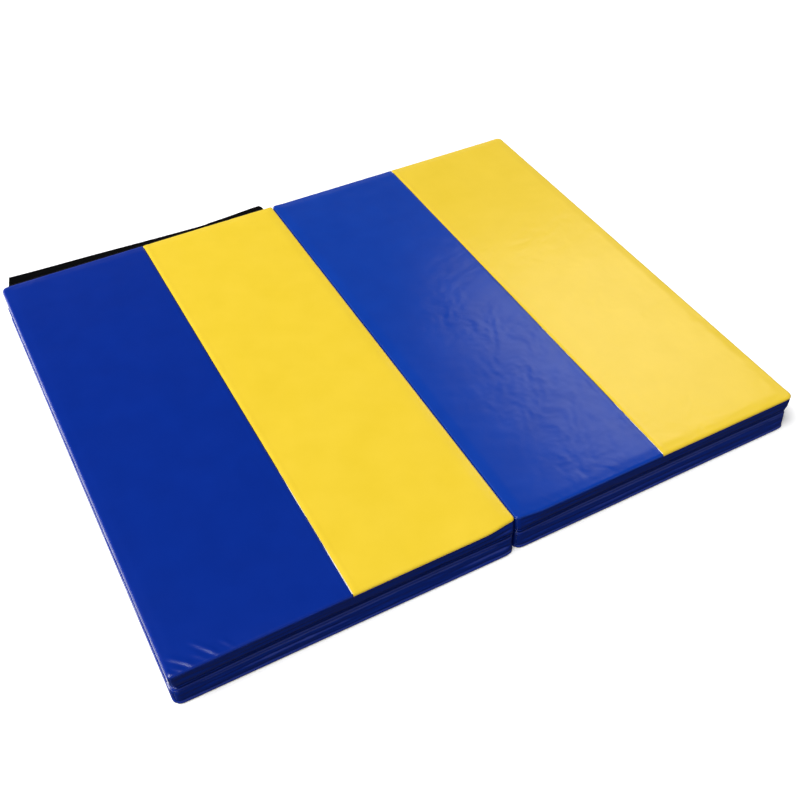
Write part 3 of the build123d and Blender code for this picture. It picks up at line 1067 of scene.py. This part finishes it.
def outer_hinge_strip(name, side, seed):
    """The strip folded between two stacked panels, whose fold shows in the crease at their sides."""
    low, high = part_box(name)
    axis_x = side * (max(abs(low.x), abs(high.x)) - (high.z - low.z) / 2)
    axis_z = (low.z + high.z) / 2
    radius = (high.z - low.z) / 2 - 0.2 * MM
    inner_x = low.x if side > 0 else high.x
    steps = 8
    sewn = [inner_x + (axis_x - inner_x) * k / steps for k in range(steps + 1)]
    section = [(x, axis_z - radius) for x in sewn]
    for k in range(1, steps):
        angle = -math.pi / 2 + math.pi * k / steps
        section.append((axis_x + side * radius * math.cos(angle), axis_z + radius * math.sin(angle)))
    section += [(x, axis_z + radius) for x in reversed(sewn)]
    obj = strip_along(name, section, low.y, high.y, seed)
    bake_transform(obj)


def centre_hinge_strip():
    """The strip that sags in the valley between the two stacks' faces."""
    name = "hinge_strip_centre"
    low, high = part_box(name)
    half_width = 3.2 * MM
    top_z = CAD_BOX[1].z - 3.4 * MM
    sag = 4.0 * MM
    past_end = 12 * MM
    steps = 14
    section = []
    for k in range(steps + 1):
        share = -1 + 2 * k / steps
        section.append((share * half_width, top_z - sag * (1 - share * share)))
    obj = strip_along(name, section, low.y - past_end, high.y + past_end, 91)
    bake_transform(obj)


# ------------ the scene around the mat


def grey(level):
    """An opaque grey, for a colour input."""
    return (level, level, level, 1)


def sky():
    """A dim studio: pale at the horizon, dark above and below, and plain white behind the object."""
    world = bpy.data.worlds.new("studio")
    bpy.context.scene.world = world
    world.use_nodes = True
    tree = world.node_tree
    place = add(tree, "TexCoord")
    axes = add(tree, "SeparateXYZ")
    height = add(tree, "MapRange", **{"From Min": -1.0})
    ramp = add(tree, "ValToRGB")
    points = ramp.color_ramp.elements
    while len(points) < len(SKY):
        points.new(0.5)
    for point, (position, level) in zip(points, SKY.items()):
        point.position = position
        point.color = grey(level)
    path = add(tree, "LightPath")
    mix = add(tree, "Mix", data_type="RGBA")
    mix.inputs[MIX_B].default_value = grey(BACKDROP)
    tree.links.new(place.outputs["Generated"], axes.inputs["Vector"])
    tree.links.new(axes.outputs["Z"], height.inputs["Value"])
    tree.links.new(height.outputs["Result"], ramp.inputs["Fac"])
    tree.links.new(path.outputs["Is Camera Ray"], mix.inputs["Factor"])
    tree.links.new(ramp.outputs["Color"], mix.inputs[MIX_A])
    tree.links.new(mix.outputs[MIX_RESULT], tree.nodes["Background"].inputs["Color"])


def floor_material(name, glow):
    """Matt white, with a glow of its own, so that it stays white under the mat's soft shadow."""
    values = {"Base Color": grey(0.93), "Roughness": 0.9, "Specular IOR Level": 0.0}
    values.update({"Emission Color": grey(1), "Emission Strength": glow})
    return new_material(name, **values)[0]


def studio_floor():
    """The floor, with only the part beside the mat's left wall showing in reflections."""
    reach = 30.0
    split_x = CAD_BOX[0].x - 3 * MM
    split_y = CAD_BOX[0].y + 40 * MM
    parts = {
        "floor_left": (-reach, split_x, split_y, reach),
        "floor_front_left": (-reach, split_x, -reach, split_y),
        "floor_right": (split_x, reach, -reach, reach),
    }
    for name, (low_x, high_x, low_y, high_y) in parts.items():
        corners = [(low_x, low_y, 0), (high_x, low_y, 0), (high_x, high_y, 0), (low_x, high_y, 0)]
        reflected = name == "floor_left"
        material = floor_material(name, REFLECTED_GLOW if reflected else FLOOR_GLOW)
        floor = mesh_object(name, corners, [(0, 1, 2, 3)], material)
        floor.location.z = CAD_BOX[0].z - 0.5 * MM
        floor.visible_diffuse = False
        floor.visible_glossy = reflected


def add_lamp(name, kind, facing, **values):
    """A lamp that shines in this direction."""
    light = bpy.data.lights.new(name, kind)
    for key, value in values.items():
        setattr(light, key, value)
    lamp = link(bpy.data.objects.new(name, light))
    lamp.rotation_euler = facing.to_track_quat("-Z", "Y").to_euler()
    return lamp


def lamps():
    """A wide soft light overhead, and the listed lamps: one for the sheen alone, one for the walls'
    colour alone."""
    add_lamp("key", "SUN", KEY_DIRECTION, energy=KEY_STRENGTH, angle=KEY_SPREAD)
    for name, facts in LAMPS.items():
        at, towards = Vector(facts["at"]), Vector(facts["towards"])
        width, depth = facts["size"]
        lamp = add_lamp(name, "AREA", towards - at, shape="RECTANGLE", size=width, size_y=depth,
                        energy=facts["power"])
        lamp.location = at
        lamp.visible_diffuse = not facts["sheen"]
        lamp.visible_glossy = facts["sheen"]


def camera_at_photo_angle():
    """The camera, where it has to stand to see the mat as the photo shows it."""
    camera = link(bpy.data.objects.new("camera", bpy.data.cameras.new("camera")))
    camera.data.lens = CAMERA_LENS
    azimuth, elevation, roll = map(math.radians, (CAMERA_AZIMUTH, CAMERA_ELEVATION, CAMERA_ROLL))
    aim = Vector((*CAMERA_AIM, CAD_BOX[1].z))
    ahead = Vector((math.sin(azimuth) * math.cos(elevation), math.cos(azimuth) * math.cos(elevation),
                    -math.sin(elevation)))
    camera.location = aim - CAMERA_DISTANCE * ahead
    facing = ahead.to_track_quat("-Z", "Y").to_matrix().to_4x4()
    camera.rotation_euler = (facing @ Matrix.Rotation(-roll, 4, "Z")).to_euler()
    bpy.context.scene.camera = camera
    bpy.context.scene.view_settings.view_transform = "Standard"


panels = {name: Panel(name, **facts) for name, facts in PANELS.items()}
for panel in panels.values():
    foam_core(panel)
    colour_half(panel, "blue")
    colour_half(panel, "yellow")
    back_sheet(panel)
    for side in ("front", "back", "left", "right"):
        wall(panel, side)
    corner_stitches(panel)
    zipper(panel)
outer_hinge_strip("hinge_strip_left", -1, 71)
outer_hinge_strip("hinge_strip_right", 1, 73)
centre_hinge_strip()
loop_tape(panels["panel_3"])
hook_flap(sewn_edge(panels["panel_2"]))
plate_metal_parts()

sky()
studio_floor()
lamps()
camera_at_photo_angle()
